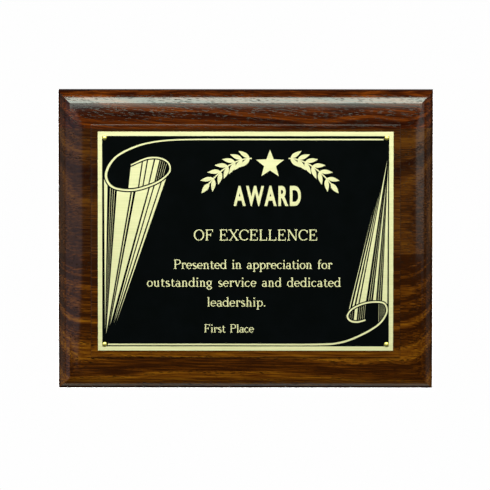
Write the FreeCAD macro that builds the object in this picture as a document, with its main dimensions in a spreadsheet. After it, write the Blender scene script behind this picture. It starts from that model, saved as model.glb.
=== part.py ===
"""Wall plaque: a moulded block of three glued boards with a pinned metal plate.

Frame: millimetres, origin at the centre of the back face, which lies on the wall.
+X is to the right seen from the front, +Z is up, and the front faces -Y.
"""
import FreeCAD, Part
import os
import Sketcher
from FreeCAD import Vector

# ---------------------------------------------------------------------------
# Driving dimensions, in millimetres
# ---------------------------------------------------------------------------
DIMENSIONS = {
    # walnut block: an 8 by 10 inch blank, 3/4 inch thick, in three edge-glued boards
    "plaque_width": 254.0,
    "plaque_height": 203.2,
    "plaque_depth": 19.05,
    "moulding_width": 22.225,
    "moulding_drop": 11.1,
    "quirk_drop": 1.0,
    "quirk_width": 0.8,
    "upper_glue_line": 76.6,
    "lower_glue_line": -9.0,
    # brass plate, with enamel inside its bare border
    "plate_width": 200.025,
    "plate_height": 149.225,
    "plate_gauge": 0.635,
    "border_width": 2.9,
    "enamel_film": 0.05,
    # domed pins that hold the plate
    "pin_spread": 191.0,
    "pin_rise": 140.8,
    "pin_head_radius": 1.7,
    "pin_head_tall": 0.85,
    "pin_shank_radius": 0.6,
    "pin_hole_play": 0.1,
    "pin_length": 12.0,
    "pin_point": 1.6,
    # flush steel keyhole hangers in the back
    "hanger_length": 44.5,
    "hanger_breadth": 19.0,
    "hanger_gauge": 1.6,
    "hanger_play": 0.25,
    "keyhole_radius": 4.75,
    "keyhole_slot_width": 5.0,
    "keyhole_drop": 3.4,
    "keyhole_rise": 4.0,
    "head_room_radius": 5.25,
    "head_room_deep": 9.0,
    "hanger_top_level": 60.0,
    "hanger_side_place": -88.0,
    # countersunk screws of the hangers
    "screw_spread": 31.0,
    "screw_head_radius": 2.7,
    "screw_shank_radius": 1.35,
    "screw_hole_play": 0.15,
    "screw_head_inset": 0.1,
    "screw_length": 12.0,
    "screw_point": 2.5,
    "cross_length": 3.0,
    "cross_width": 0.8,
    "cross_depth": 0.8,
    # how far a cutting outline reaches outside the piece
    "overcut": 1.0,
}

SHEET = "Sizes"


class Size:
    """A length that carries its value and the sheet expression that drives it."""

    def __init__(self, value, text):
        self.value = value
        self.text = text

    def combine(self, other, sign, value):
        """Join two terms into one; a plain number is written as it is."""
        right = other.text if isinstance(other, Size) else repr(float(other))
        return Size(value, f"({self.text} {sign} {right})")

    def __add__(self, other):
        return self.combine(other, "+", self.value + float(other))

    def __sub__(self, other):
        return self.combine(other, "-", self.value - float(other))

    def __mul__(self, other):
        return self.combine(other, "*", self.value * float(other))

    def __truediv__(self, other):
        return self.combine(other, "/", self.value / float(other))

    def __neg__(self):
        return self * -1

    def __float__(self):
        return self.value


class Sheet:
    """The document's spreadsheet; its aliases are read as attributes."""

    def __init__(self, doc):
        sheet = doc.addObject("Spreadsheet::Sheet", SHEET)
        for row, (alias, value) in enumerate(DIMENSIONS.items(), start=1):
            sheet.set(f"A{row}", alias.replace("_", " "))
            sheet.set(f"B{row}", str(value))
            sheet.setAlias(f"B{row}", alias)
            setattr(self, alias, Size(value, f"{SHEET}.{alias}"))
        self.zero = self.overcut - self.overcut


class Outline:
    """A sketch on an origin plane of one body, dimensioned from the sheet.

    A point of the sketch is a pair of Sizes: across, then up.
    """

    def __init__(self, body, name, plane, offset=None):
        support = next(f for f in body.Origin.OriginFeatures if f.Role == plane)
        self.sketch = body.newObject("Sketcher::SketchObject", name)
        self.sketch.AttachmentSupport = [(support, "")]
        self.sketch.MapMode = "FlatFace"
        if offset is not None:
            self.sketch.setExpression("AttachmentOffset.Base.z", offset.text)

    def tie(self, kind, *where, size=None):
        """Add a constraint, and bind its value to the sheet when it has one."""
        if size is None:
            self.sketch.addConstraint(Sketcher.Constraint(kind, *where))
            return
        index = self.sketch.addConstraint(Sketcher.Constraint(kind, *where, float(size)))
        self.sketch.setExpression(f"Constraints[{index}]", size.text)

    def pin_down(self, edge, end, point):
        """Fix an edge's point (1 start, 2 end, 3 centre) by its distances from the origin."""
        across, up = point
        self.tie("DistanceX", -1, 1, edge, end, size=across)
        self.tie("DistanceY", -1, 1, edge, end, size=up)

    def line(self, start, stop):
        """Draw one straight edge."""
        ends = [Vector(float(p[0]), float(p[1]), 0) for p in (start, stop)]
        return self.sketch.addGeometry(Part.LineSegment(*ends), False)

    def polygon(self, points):
        """Draw a closed run of straight edges whose corners are all fixed."""
        following = points[1:] + points[:1]
        edges = [self.line(start, stop) for start, stop in zip(points, following)]
        for edge, after, corner in zip(edges, edges[1:] + edges[:1], following):
            self.tie("Coincident", edge, 2, after, 1)
            self.pin_down(edge, 2, corner)

    def rectangle(self, low, high):
        """Draw a rectangle between its low and high corners."""
        self.polygon([low, (high[0], low[1]), high, (low[0], high[1])])

    def circle(self, centre, radius):
        """Draw a circle."""
        middle = Vector(float(centre[0]), float(centre[1]), 0)
        shape = Part.Circle(middle, Vector(0, 0, 1), float(radius))
        edge = self.sketch.addGeometry(shape, False)
        self.tie("Radius", edge, size=radius)
        self.pin_down(edge, 3, centre)

    def arc(self, centre, start, stop):
        """Draw an arc counter-clockwise from start to stop about a centre."""
        middle, first, last = (Vector(float(p[0]), float(p[1]), 0) for p in (centre, start, stop))
        circle = Part.Circle(middle, Vector(0, 0, 1), (first - middle).Length)
        angles = circle.parameter(first), circle.parameter(last)
        edge = self.sketch.addGeometry(Part.ArcOfCircle(circle, *angles), False)
        self.pin_down(edge, 3, centre)
        return edge

    def close(self, edges):
        """Join each edge's end to the next one's start."""
        for edge, after in zip(edges, edges[1:] + edges[:1]):
            self.tie("Coincident", edge, 2, after, 1)


def new_body(doc, label):
    """Start a body whose label names its piece."""
    body = doc.addObject("PartDesign::Body", label)
    body.Label = label
    return body


def pad(body, outline, name, length):
    """Raise solid material from a sketch, along its normal."""
    feature = body.newObject("PartDesign::Pad", name)
    feature.Profile = outline.sketch
    feature.setExpression("Length", length.text)
    return feature


def pocket(body, outline, name, length=None, along_normal=False):
    """Cut a sketch into the body to a depth, or both ways through it all."""
    body.Document.recompute()
    before = body.Shape.Volume
    feature = body.newObject("PartDesign::Pocket", name)
    feature.Profile = outline.sketch
    if length is None:
        feature.SideType = "Two sides"
        feature.Type = "ThroughAll"
        feature.Type2 = "ThroughAll"
    else:
        feature.setExpression("Length", length.text)
        feature.Reversed = along_normal
    body.Document.recompute()
    if not body.Shape.Volume < before - 1e-6:
        raise RuntimeError(f"{body.Label}: {name} cuts nothing")
    return feature


def revolve(body, outline):
    """Turn a half section about the sketch's upright axis."""
    feature = body.newObject("PartDesign::Revolution", "Turned")
    feature.Profile = outline.sketch
    feature.ReferenceAxis = (outline.sketch, ["V_Axis"])
    feature.Angle = 360.0
    return feature


# ---------------------------------------------------------------------------
# Walnut block
# ---------------------------------------------------------------------------
def moulding(outline, sizes, half_span, side, upright):
    """Outline what the cutter takes off one edge of the block.

    The section is a small square step down from the flat land, a quirk, then a quarter
    of an ellipse that ends tangent to the straight side. Outward distances run along the
    sketch's up axis when upright, and across otherwise; depth is the other one.
    """
    front = sizes.plaque_depth
    land = half_span - sizes.moulding_width
    quirk = land + sizes.quirk_width
    shoulder = front - sizes.moulding_drop

    def at(outward, depth):
        """Turn an outward distance and a distance from the wall into a sketch point."""
        return (-depth, outward * side) if upright else (outward * side, -depth)

    above = front + sizes.overcut
    beyond = half_span + sizes.overcut
    crown = at(quirk, front - sizes.quirk_drop)
    rim = at(half_span, shoulder)
    centre = at(quirk, shoulder)
    corners = [rim, at(beyond, shoulder), at(beyond, above), at(land, above),
               at(land, front - sizes.quirk_drop), crown]
    edges = [outline.line(a, b) for a, b in zip(corners, corners[1:])]
    for edge, after in zip(edges, edges[1:]):
        outline.tie("Coincident", edge, 2, after, 1)
    for edge, start in zip(edges, corners):
        outline.pin_down(edge, 1, start)
    outline.pin_down(edges[-1], 2, crown)

    middle, outer, inner = (Vector(float(p[0]), float(p[1]), 0) for p in (centre, rim, crown))
    ellipse = Part.Ellipse(outer, inner, middle)
    turns_back = (outer - middle).cross(inner - middle).z < 0
    ends = (inner, outer) if turns_back else (outer, inner)
    low, high = (ellipse.parameter(end) for end in ends)
    curve = outline.sketch.addGeometry(Part.ArcOfEllipse(ellipse, low, high), False)
    outline.sketch.exposeInternalGeometry(curve)
    outline.tie("Vertical" if upright else "Horizontal", curve + 1)
    outline.tie("Coincident", curve, 1 if turns_back else 2, edges[-1], 2)
    outline.tie("Coincident", curve, 2 if turns_back else 1, edges[0], 1)
    outline.pin_down(curve, 3, centre)


def board(doc, sizes, label, low, high, edge_side=0):
    """Plane one board of the block, moulded at both ends and on its free edge."""
    body = new_body(doc, label)
    half_width = sizes.plaque_width / 2
    blank = Outline(body, "BlankFace", "XZ_Plane")
    blank.rectangle((-half_width, low), (half_width, high))
    pad(body, blank, "Blank", sizes.plaque_depth)
    for side, name in ((1, "Right"), (-1, "Left")):
        end = Outline(body, f"{name}EndSection", "XY_Plane")
        moulding(end, sizes, half_width, side, upright=False)
        pocket(body, end, f"{name}EndMoulding")
    if edge_side:
        edge = Outline(body, "EdgeSection", "YZ_Plane")
        moulding(edge, sizes, sizes.plaque_height / 2, edge_side, upright=True)
        pocket(body, edge, "EdgeMoulding")
    return body


def drill_for_pins(body, sizes, level):
    """Bore the two pin holes of one row in from the front face."""
    holes = Outline(body, "PinHoleCentres", "XZ_Plane", sizes.plaque_depth)
    for side in (-1, 1):
        holes.circle((sizes.pin_spread / 2 * side, level), sizes.pin_shank_radius)
    depth = sizes.pin_length - sizes.plate_gauge - sizes.enamel_film
    pocket(body, holes, "PinHoles", depth)


class Hanger:
    """Where a keyhole hanger sits in the back, and which way its slot points.

    right is the direction of the plate's length and up the way the keyhole narrows.
    """

    def __init__(self, name, centre, right, up):
        self.name = name
        self.centre = centre
        self.right = right
        self.up = up

    def at(self, along, rise):
        """Place a point given along the plate's length and up its keyhole."""
        (cx, cz), (rx, rz), (ux, uz) = self.centre, self.right, self.up
        return (cx + along * rx + rise * ux, cz + along * rz + rise * uz)

    def stadium(self, outline, first, last, radius, sizes):
        """Outline a round-ended slot between two centres given as (along, rise)."""
        lengthwise = first[0].value != last[0].value
        side = (sizes.zero, radius) if lengthwise else (-radius, sizes.zero)

        def corner(centre, sign):
            """Return a point where a straight side meets a round end."""
            return self.at(centre[0] + side[0] * sign, centre[1] + side[1] * sign)

        clockwise = self.right[0] * self.up[1] - self.right[1] * self.up[0] < 0
        turn = -1 if clockwise else 1
        head = outline.arc(self.at(*last), corner(last, -turn), corner(last, turn))
        back = outline.line(corner(last, turn), corner(first, turn))
        tail = outline.arc(self.at(*first), corner(first, turn), corner(first, -turn))
        out = outline.line(corner(first, -turn), corner(last, -turn))
        outline.close([head, back, tail, out])
        outline.pin_down(back, 1, corner(last, turn))
        outline.pin_down(out, 1, corner(first, -turn))

    def body_outline(self, outline, sizes, grow):
        """Outline the plate itself, larger by a margin all round."""
        radius = sizes.hanger_breadth / 2
        reach = (sizes.hanger_length - sizes.hanger_breadth) / 2
        self.stadium(outline, (-reach, sizes.zero), (reach, sizes.zero), radius + grow, sizes)

    def screw_centres(self, sizes):
        """Give the two screw places, low end first."""
        half = sizes.screw_spread / 2
        return [self.at(half * side, sizes.zero) for side in (-1, 1)]


def inlet_hanger(body, sizes, hanger, screws):
    """Rout the recess for a hanger and bore the pilot holes of its screws."""
    recess = Outline(body, f"{hanger.name}RecessFace", "XZ_Plane")
    hanger.body_outline(recess, sizes, sizes.hanger_play)
    pocket(body, recess, f"{hanger.name}Recess", sizes.hanger_gauge, along_normal=True)
    pilots = Outline(body, f"{hanger.name}PilotCentres", "XZ_Plane")
    for centre in screws:
        pilots.circle(centre, sizes.screw_shank_radius)
    pocket(body, pilots, f"{hanger.name}Pilots", sizes.screw_length, along_normal=True)


def clear_head_room(body, sizes, hanger):
    """Rout the room behind a keyhole in which the wall screw's head travels."""
    room = Outline(body, f"{hanger.name}RoomFace", "XZ_Plane")
    low, high = (sizes.zero, -sizes.keyhole_drop), (sizes.zero, sizes.keyhole_rise)
    hanger.stadium(room, low, high, sizes.head_room_radius, sizes)
    pocket(body, room, f"{hanger.name}HeadRoom", sizes.head_room_deep, along_normal=True)


def walnut_block(doc, sizes, hanger_top, hanger_side):
    """Build the three boards with everything bored and routed into them."""
    half_height = sizes.plaque_height / 2
    upper, lower = sizes.upper_glue_line, sizes.lower_glue_line
    pin_level = sizes.pin_rise / 2
    top = board(doc, sizes, "walnut_board_top", upper, half_height, edge_side=1)
    middle = board(doc, sizes, "walnut_board_middle", lower, upper)
    bottom = board(doc, sizes, "walnut_board_bottom", -half_height, lower, edge_side=-1)
    drill_for_pins(middle, sizes, pin_level)
    drill_for_pins(bottom, sizes, -pin_level)
    inlet_hanger(middle, sizes, hanger_top, hanger_top.screw_centres(sizes))
    lower_screw, upper_screw = hanger_side.screw_centres(sizes)
    inlet_hanger(middle, sizes, hanger_side, [upper_screw])
    inlet_hanger(bottom, sizes, hanger_side, [lower_screw])
    for hanger in (hanger_top, hanger_side):
        clear_head_room(middle, sizes, hanger)
    return [top, middle, bottom]


# ---------------------------------------------------------------------------
# Plate, enamel and pins
# ---------------------------------------------------------------------------
def sheet_metal(doc, sizes, label, level, gauge, inset):
    """Cut a rectangular sheet with its four pin holes, lying level above the wall."""
    body = new_body(doc, label)
    half_width = sizes.plate_width / 2 - inset
    half_height = sizes.plate_height / 2 - inset
    face = Outline(body, "Face", "XZ_Plane", level)
    face.rectangle((-half_width, -half_height), (half_width, half_height))
    pad(body, face, "Sheet", gauge)
    holes = Outline(body, "PinHoleCentres", "XZ_Plane", level)
    for side in (-1, 1):
        for row in (-1, 1):
            centre = (sizes.pin_spread / 2 * side, sizes.pin_rise / 2 * row)
            holes.circle(centre, sizes.pin_shank_radius + sizes.pin_hole_play)
    pocket(body, holes, "PinHoles")
    return body


def escutcheon_pin(doc, sizes, label, side, row):
    """Turn a pin with a domed head, its shank pointing into the wood."""
    body = new_body(doc, label)
    zero, radius, tall = sizes.zero, sizes.pin_head_radius, sizes.pin_head_tall
    shank = sizes.pin_shank_radius
    dome_radius = (radius * radius + tall * tall) / tall / 2
    section = Outline(body, "HalfSection", "XY_Plane")
    top, brim, neck = (zero, -tall), (radius, zero), (shank, zero)
    shoulder, point = (shank, sizes.pin_length - sizes.pin_point), (zero, sizes.pin_length)
    dome = section.arc((zero, dome_radius - tall), top, brim)
    corners = [brim, neck, shoulder, point, top]
    edges = [section.line(a, b) for a, b in zip(corners, corners[1:])]
    section.close([dome] + edges)
    for edge, corner in zip(edges, corners[1:]):
        section.pin_down(edge, 2, corner)
    section.tie("DistanceY", -1, 1, edges[0], 1, size=zero)
    revolve(body, section)
    body.setExpression("Placement.Base.x", (sizes.pin_spread / 2 * side).text)
    body.setExpression("Placement.Base.z", (sizes.pin_rise / 2 * row).text)
    seat = sizes.plaque_depth + sizes.plate_gauge + sizes.enamel_film
    body.setExpression("Placement.Base.y", (-seat).text)
    return body


# ---------------------------------------------------------------------------
# Hangers and their screws
# ---------------------------------------------------------------------------
def hanger_plate(doc, sizes, label, hanger):
    """Stamp one keyhole plate with two countersunk screw holes."""
    body = new_body(doc, label)
    face = Outline(body, "Face", "XZ_Plane")
    hanger.body_outline(face, sizes, sizes.zero)
    pad(body, face, "Plate", sizes.hanger_gauge)
    zero, drop, rise = sizes.zero, sizes.keyhole_drop, sizes.keyhole_rise
    entry = Outline(body, "EntryFace", "XZ_Plane")
    entry.circle(hanger.at(zero, -drop), sizes.keyhole_radius)
    pocket(body, entry, "KeyholeEntry")
    slot = Outline(body, "SlotFace", "XZ_Plane")
    hanger.stadium(slot, (zero, -drop), (zero, rise), sizes.keyhole_slot_width / 2, sizes)
    pocket(body, slot, "KeyholeSlot")
    holes = Outline(body, "ScrewHoleCentres", "XZ_Plane")
    bore = sizes.screw_shank_radius + sizes.screw_hole_play
    for centre in hanger.screw_centres(sizes):
        holes.circle(centre, bore)
    drilled = pocket(body, holes, "ScrewHoles")
    countersink = body.newObject("PartDesign::Chamfer", "Countersinks")
    countersink.Base = (drilled, back_rims(drilled.Shape, bore.value))
    countersink.setExpression("Size", (sizes.screw_head_radius - sizes.screw_shank_radius).text)
    return body


def back_rims(shape, radius):
    """Name the circular edges of one radius that lie in the back face."""
    names = []
    for number, edge in enumerate(shape.Edges, start=1):
        round_edge = isinstance(edge.Curve, Part.Circle) and abs(edge.Curve.Radius - radius) < 1e-6
        if round_edge and abs(edge.Curve.Center.y) < 1e-6:
            names.append(f"Edge{number}")
    return names


def hanger_screw(doc, sizes, label, centre):
    """Turn a countersunk wood screw and cut the cross in its head."""
    body = new_body(doc, label)
    zero, inset = sizes.zero, sizes.screw_head_inset
    head, shank, length = sizes.screw_head_radius, sizes.screw_shank_radius, sizes.screw_length
    section = Outline(body, "HalfSection", "XY_Plane")
    section.polygon([(zero, -inset), (zero, -length), (shank, sizes.screw_point - length),
                     (shank, shank - head - inset), (head, -inset)])
    revolve(body, section)
    long, wide = sizes.cross_length / 2, sizes.cross_width / 2
    for name, across, up in (("CrossBar", long, wide), ("CrossPost", wide, long)):
        recess = Outline(body, f"{name}Face", "XZ_Plane", inset)
        recess.rectangle((-across, -up), (across, up))
        pocket(body, recess, name, sizes.cross_depth, along_normal=True)
    body.setExpression("Placement.Base.x", centre[0].text)
    body.setExpression("Placement.Base.z", centre[1].text)
    return body


# ---------------------------------------------------------------------------
# Assembly, checks and files
# ---------------------------------------------------------------------------
def build(doc):
    """Build every piece of the plaque."""
    sizes = Sheet(doc)
    doc.recompute()
    hanger_top = Hanger("Top", (sizes.zero, sizes.hanger_top_level), (1, 0), (0, 1))
    hanger_side = Hanger("Side", (sizes.hanger_side_place, sizes.zero), (0, 1), (-1, 0))
    pieces = walnut_block(doc, sizes, hanger_top, hanger_side)

    front = sizes.plaque_depth
    pieces.append(sheet_metal(doc, sizes, "engraving_plate", front, sizes.plate_gauge, sizes.zero))
    film_level = front + sizes.plate_gauge
    film = sizes.enamel_film
    pieces.append(sheet_metal(doc, sizes, "enamel_coat", film_level, film, sizes.border_width))
    for row_name, row in (("top", 1), ("bottom", -1)):
        for side_name, side in (("left", -1), ("right", 1)):
            label = f"plate_pin_{row_name}_{side_name}"
            pieces.append(escutcheon_pin(doc, sizes, label, side, row))

    for place, hanger, ends in (("top", hanger_top, ("left", "right")),
                                ("side", hanger_side, ("lower", "upper"))):
        pieces.append(hanger_plate(doc, sizes, f"keyhole_hanger_{place}", hanger))
        for end, centre in zip(ends, hanger.screw_centres(sizes)):
            pieces.append(hanger_screw(doc, sizes, f"hanger_screw_{place}_{end}", centre))
    doc.recompute()
    return pieces


def check(doc, pieces):
    """Stop if any object failed to build or any piece is not one valid solid."""
    for thing in doc.Objects:
        if "Invalid" in thing.State or "Error" in thing.State:
            raise RuntimeError(f"{thing.Name} failed: {thing.State}")
    for piece in pieces:
        shape = piece.Shape
        if shape.isNull() or not shape.isValid() or len(shape.Solids) != 1:
            raise RuntimeError(f"{piece.Label} is not one valid solid")


def export(pieces):
    """Write each piece to its own STEP file."""
    os.makedirs("parts", exist_ok=True)
    for piece in pieces:
        piece.Shape.exportStep(f"parts/{piece.Label}.step")
        print(f"{piece.Label}: {piece.Shape.Volume:.1f} mm3")


document = FreeCAD.newDocument("WallPlaque")
plaque_pieces = build(document)
check(document, plaque_pieces)
export(plaque_pieces)
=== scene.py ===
"""Walnut award plaque with a black enamelled brass plate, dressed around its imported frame.

Frame: metres, origin at the centre of the back face, +X right, +Z up, front facing -Y.
"""
from __future__ import annotations

import logging
import math
from contextlib import contextmanager
from dataclasses import dataclass, field
from enum import Enum
from typing import Callable, Iterator, Sequence

import bmesh
import bpy
from mathutils import Matrix, Vector

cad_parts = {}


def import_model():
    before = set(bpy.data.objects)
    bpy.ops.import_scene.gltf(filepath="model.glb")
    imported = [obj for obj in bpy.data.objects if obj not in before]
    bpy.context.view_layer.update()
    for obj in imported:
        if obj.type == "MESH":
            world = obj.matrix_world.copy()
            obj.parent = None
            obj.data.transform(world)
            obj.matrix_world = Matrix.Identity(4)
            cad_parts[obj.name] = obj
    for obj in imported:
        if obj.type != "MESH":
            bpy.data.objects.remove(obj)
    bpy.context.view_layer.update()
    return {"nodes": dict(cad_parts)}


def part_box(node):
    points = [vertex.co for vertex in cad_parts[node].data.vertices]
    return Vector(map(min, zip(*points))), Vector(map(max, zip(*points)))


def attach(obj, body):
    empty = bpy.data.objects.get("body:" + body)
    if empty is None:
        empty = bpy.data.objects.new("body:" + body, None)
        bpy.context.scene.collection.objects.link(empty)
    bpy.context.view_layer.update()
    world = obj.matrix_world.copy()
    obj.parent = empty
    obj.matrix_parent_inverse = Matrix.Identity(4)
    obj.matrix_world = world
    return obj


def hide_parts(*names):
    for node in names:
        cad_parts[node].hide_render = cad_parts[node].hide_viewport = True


LOG = logging.getLogger("plaque")
MM = 0.001
BODY = "root"
Point = tuple[float, float]
Loop = list[Vector]
Thing = bpy.types.Object
Material = bpy.types.Material
Tree = bpy.types.NodeTree
Socket = bpy.types.NodeSocket


# ---------------------------------------------------------------------------
# Modelling helpers
# ---------------------------------------------------------------------------
def linear(hex_colour: str) -> tuple[float, float, float, float]:
    """Turn an sRGB hex colour into linear light.

    Args:
        hex_colour: six hex digits after a hash sign.

    Returns:
        Red, green and blue in linear light, and an alpha of one.
    """
    channels = (int(hex_colour[i:i + 2], 16) / 255 for i in (1, 3, 5))
    light = (c / 12.92 if c <= 0.04045 else ((c + 0.055) / 1.055) ** 2.4 for c in channels)
    return (*light, 1.0)


def choose(*objects: Thing) -> None:
    """Select only the given objects and make the last one active.

    Args:
        objects: what the next operator acts on.
    """
    bpy.ops.object.select_all(action="DESELECT")
    for thing in objects:
        thing.select_set(True)
    bpy.context.view_layer.objects.active = objects[-1]


@contextmanager
def editing(thing: Thing) -> Iterator[Thing]:
    """Hold a mesh in edit mode with everything selected.

    Args:
        thing: the mesh object to edit.

    Yields:
        The same object.
    """
    choose(thing)
    bpy.ops.object.mode_set(mode="EDIT")
    bpy.ops.mesh.select_all(action="SELECT")
    yield thing
    bpy.ops.object.mode_set(mode="OBJECT")


def pick_edges(thing: Thing, wanted: Callable[[Vector, Vector], bool]) -> None:
    """Select, in edit mode, the edges whose two ends satisfy a test.

    Args:
        thing: the mesh object being edited.
        wanted: takes the ends of an edge and says whether it is wanted.
    """
    bpy.ops.mesh.select_all(action="DESELECT")
    bpy.ops.mesh.select_mode(type="EDGE")
    shape = bmesh.from_edit_mesh(thing.data)
    for edge in shape.edges:
        if wanted(edge.verts[0].co, edge.verts[1].co):
            edge.select = True
    shape.select_flush_mode()
    bmesh.update_edit_mesh(thing.data)


def settle(thing: Thing) -> None:
    """Put an object's place, turn and size into its mesh.

    Args:
        thing: the object, which is left selected and active.
    """
    choose(thing)
    bpy.ops.object.transform_apply(location=True, rotation=True, scale=True)


def rod(
    radius: float, length: float, place: tuple[float, float, float], vertices: int = 32
) -> Thing:
    """Model a round rod that runs from front to back.

    Args:
        radius: half its breadth.
        length: its length.
        place: its middle.
        vertices: the number of its sides.

    Returns:
        The rod, with its place in its mesh.
    """
    bpy.ops.object.select_all(action="DESELECT")
    bpy.ops.mesh.primitive_cylinder_add(
        vertices=vertices, radius=radius, depth=length, rotation=(math.pi / 2, 0, 0),
        location=place)
    shape = bpy.context.active_object
    settle(shape)
    return shape


def draw_out(sections: Sequence[tuple[float, float, float]]) -> None:
    """Extrude the selected face from section to section, in edit mode.

    Args:
        sections: the breadth, the height and the distance from the wall of each.
    """
    for (wide, tall, level), (broader, taller, reach) in zip(sections, sections[1:]):
        bpy.ops.mesh.extrude_region_move(
            TRANSFORM_OT_translate={"value": (0, level - reach, 0)})
        bpy.ops.transform.resize(
            value=(broader / wide, 1.0, taller / tall), center_override=(0, -reach, 0))


def put_in(name: str, data: bpy.types.ID) -> Thing:
    """Make an object from its data and put it in the scene.

    Args:
        name: the object's name.
        data: its curve, light or camera.

    Returns:
        The new object.
    """
    thing = bpy.data.objects.new(name, data)
    bpy.context.collection.objects.link(thing)
    return thing


def coat(thing: Thing, material: Material) -> None:
    """Give a mesh one material.

    Args:
        thing: the mesh object.
        material: its only material.
    """
    thing.data.materials.clear()
    thing.data.materials.append(material)


def finish_mesh(thing: Thing, name: str, smooth_degrees: float = 30.0) -> None:
    """Merge doubles, turn faces outward, name the piece and put its place in its mesh.

    Args:
        thing: the mesh object.
        name: the piece's name.
        smooth_degrees: edges flatter than this are shaded smooth.
    """
    with editing(thing):
        bpy.ops.mesh.remove_doubles(threshold=0.001 * MM)
        bpy.ops.mesh.normals_make_consistent(inside=False)
    settle(thing)
    bpy.ops.object.shade_smooth_by_angle(angle=math.radians(smooth_degrees))
    thing.name = name
    thing.data.name = name


def cut_away(thing: Thing, cutter: Thing, tangled: bool = False) -> None:
    """Cut one mesh out of another and discard the cutter.

    Args:
        thing: the mesh that stays.
        cutter: the mesh that is cut away and removed.
        tangled: whether the cutter's own shells overlap one another.
    """
    modifier = thing.modifiers.new("Cut", "BOOLEAN")
    modifier.operation = "DIFFERENCE"
    modifier.solver = "EXACT"
    modifier.use_self = tangled
    modifier.object = cutter
    choose(thing)
    bpy.ops.object.modifier_apply(modifier=modifier.name)
    bpy.data.objects.remove(cutter)


def copy_of(thing: Thing) -> Thing:
    """Copy an object together with its mesh.

    Args:
        thing: the object to copy.

    Returns:
        The copy, which is selected and active.
    """
    choose(thing)
    bpy.ops.object.duplicate(linked=False)
    return bpy.context.active_object


def centre_of(node: str) -> Point:
    """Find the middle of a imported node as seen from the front.

    Args:
        node: the node's name.

    Returns:
        Its middle in X and Z.
    """
    low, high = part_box(node)
    return ((low.x + high.x) / 2, (low.z + high.z) / 2)


# ---------------------------------------------------------------------------
# Finishes
# ---------------------------------------------------------------------------
def add_node(
    tree: Tree, kind: str, inputs: dict | None = None, **settings: object
) -> bpy.types.Node:
    """Add one node with its settings, values and links.

    Args:
        tree: the tree that gets the node.
        kind: the node's type.
        inputs: socket name or number to a value, or to the output socket that feeds it.
        settings: properties of the node itself.

    Returns:
        The new node.
    """
    node = tree.nodes.new(kind)
    for name, value in settings.items():
        setattr(node, name, value)
    for socket, value in (inputs or {}).items():
        if isinstance(value, Socket):
            tree.links.new(value, node.inputs[socket])
        else:
            node.inputs[socket].default_value = value
    return node


def ramp(tree: Tree, factor: Socket, stops: Sequence[tuple[float, str]]) -> Socket:
    """Colour a factor by hex stops.

    Args:
        tree: the tree that gets the ramp.
        factor: what drives it.
        stops: places from 0 to 1 with their hex colours, in order.

    Returns:
        The ramp's colour socket.
    """
    node = add_node(tree, "ShaderNodeValToRGB", {"Fac": factor})
    elements = node.color_ramp.elements
    while len(elements) < len(stops):
        elements.new(1.0)
    for element, (place, colour) in zip(elements, stops):
        element.position = place
        element.color = linear(colour)
    return node.outputs["Color"]


def new_material(name: str) -> tuple[Material, Tree, Socket]:
    """Start a node material.

    Args:
        name: the material's name.

    Returns:
        The material, its node tree and the socket of its object coordinates.
    """
    material = bpy.data.materials.new(name)
    material.use_nodes = True
    tree = material.node_tree
    tree.nodes.clear()
    return material, tree, add_node(tree, "ShaderNodeTexCoord").outputs["Object"]


def stretched(tree: Tree, place: Socket, **how: tuple[float, float, float]) -> Socket:
    """Move, turn or scale coordinates.

    Args:
        tree: the tree that gets the step.
        place: the coordinates.
        how: Location, Rotation or Scale with three numbers each.

    Returns:
        The new coordinates.
    """
    return add_node(tree, "ShaderNodeMapping", {"Vector": place, **how}).outputs["Vector"]


def noise(tree: Tree, place: Socket, detail: float, scale: float = 1.0) -> bpy.types.Node:
    """Lay soft noise over coordinates.

    Args:
        tree: the tree that gets the noise.
        place: the coordinates.
        detail: how many finer layers it has.
        scale: lumps in one unit of the coordinates.

    Returns:
        The noise node.
    """
    return add_node(
        tree, "ShaderNodeTexNoise", {"Vector": place, "Scale": scale, "Detail": detail})


def close_material(tree: Tree, inputs: dict) -> None:
    """End a material with one principled surface.

    Args:
        tree: the material's node tree.
        inputs: the surface's sockets and what feeds them.
    """
    surface = add_node(tree, "ShaderNodeBsdfPrincipled", inputs)
    add_node(tree, "ShaderNodeOutputMaterial", {"Surface": surface.outputs["BSDF"]})


def math_node(tree: Tree, operation: str, *values: object, clamp: bool = False) -> Socket:
    """Join numbers and sockets by one arithmetic step.

    Args:
        tree: the tree that gets the step.
        operation: the step's name.
        values: what goes into it, in order.
        clamp: whether the result is kept from 0 to 1.

    Returns:
        The result's socket.
    """
    inputs = dict(enumerate(values))
    node = add_node(tree, "ShaderNodeMath", inputs, operation=operation, use_clamp=clamp)
    return node.outputs[0]


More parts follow.
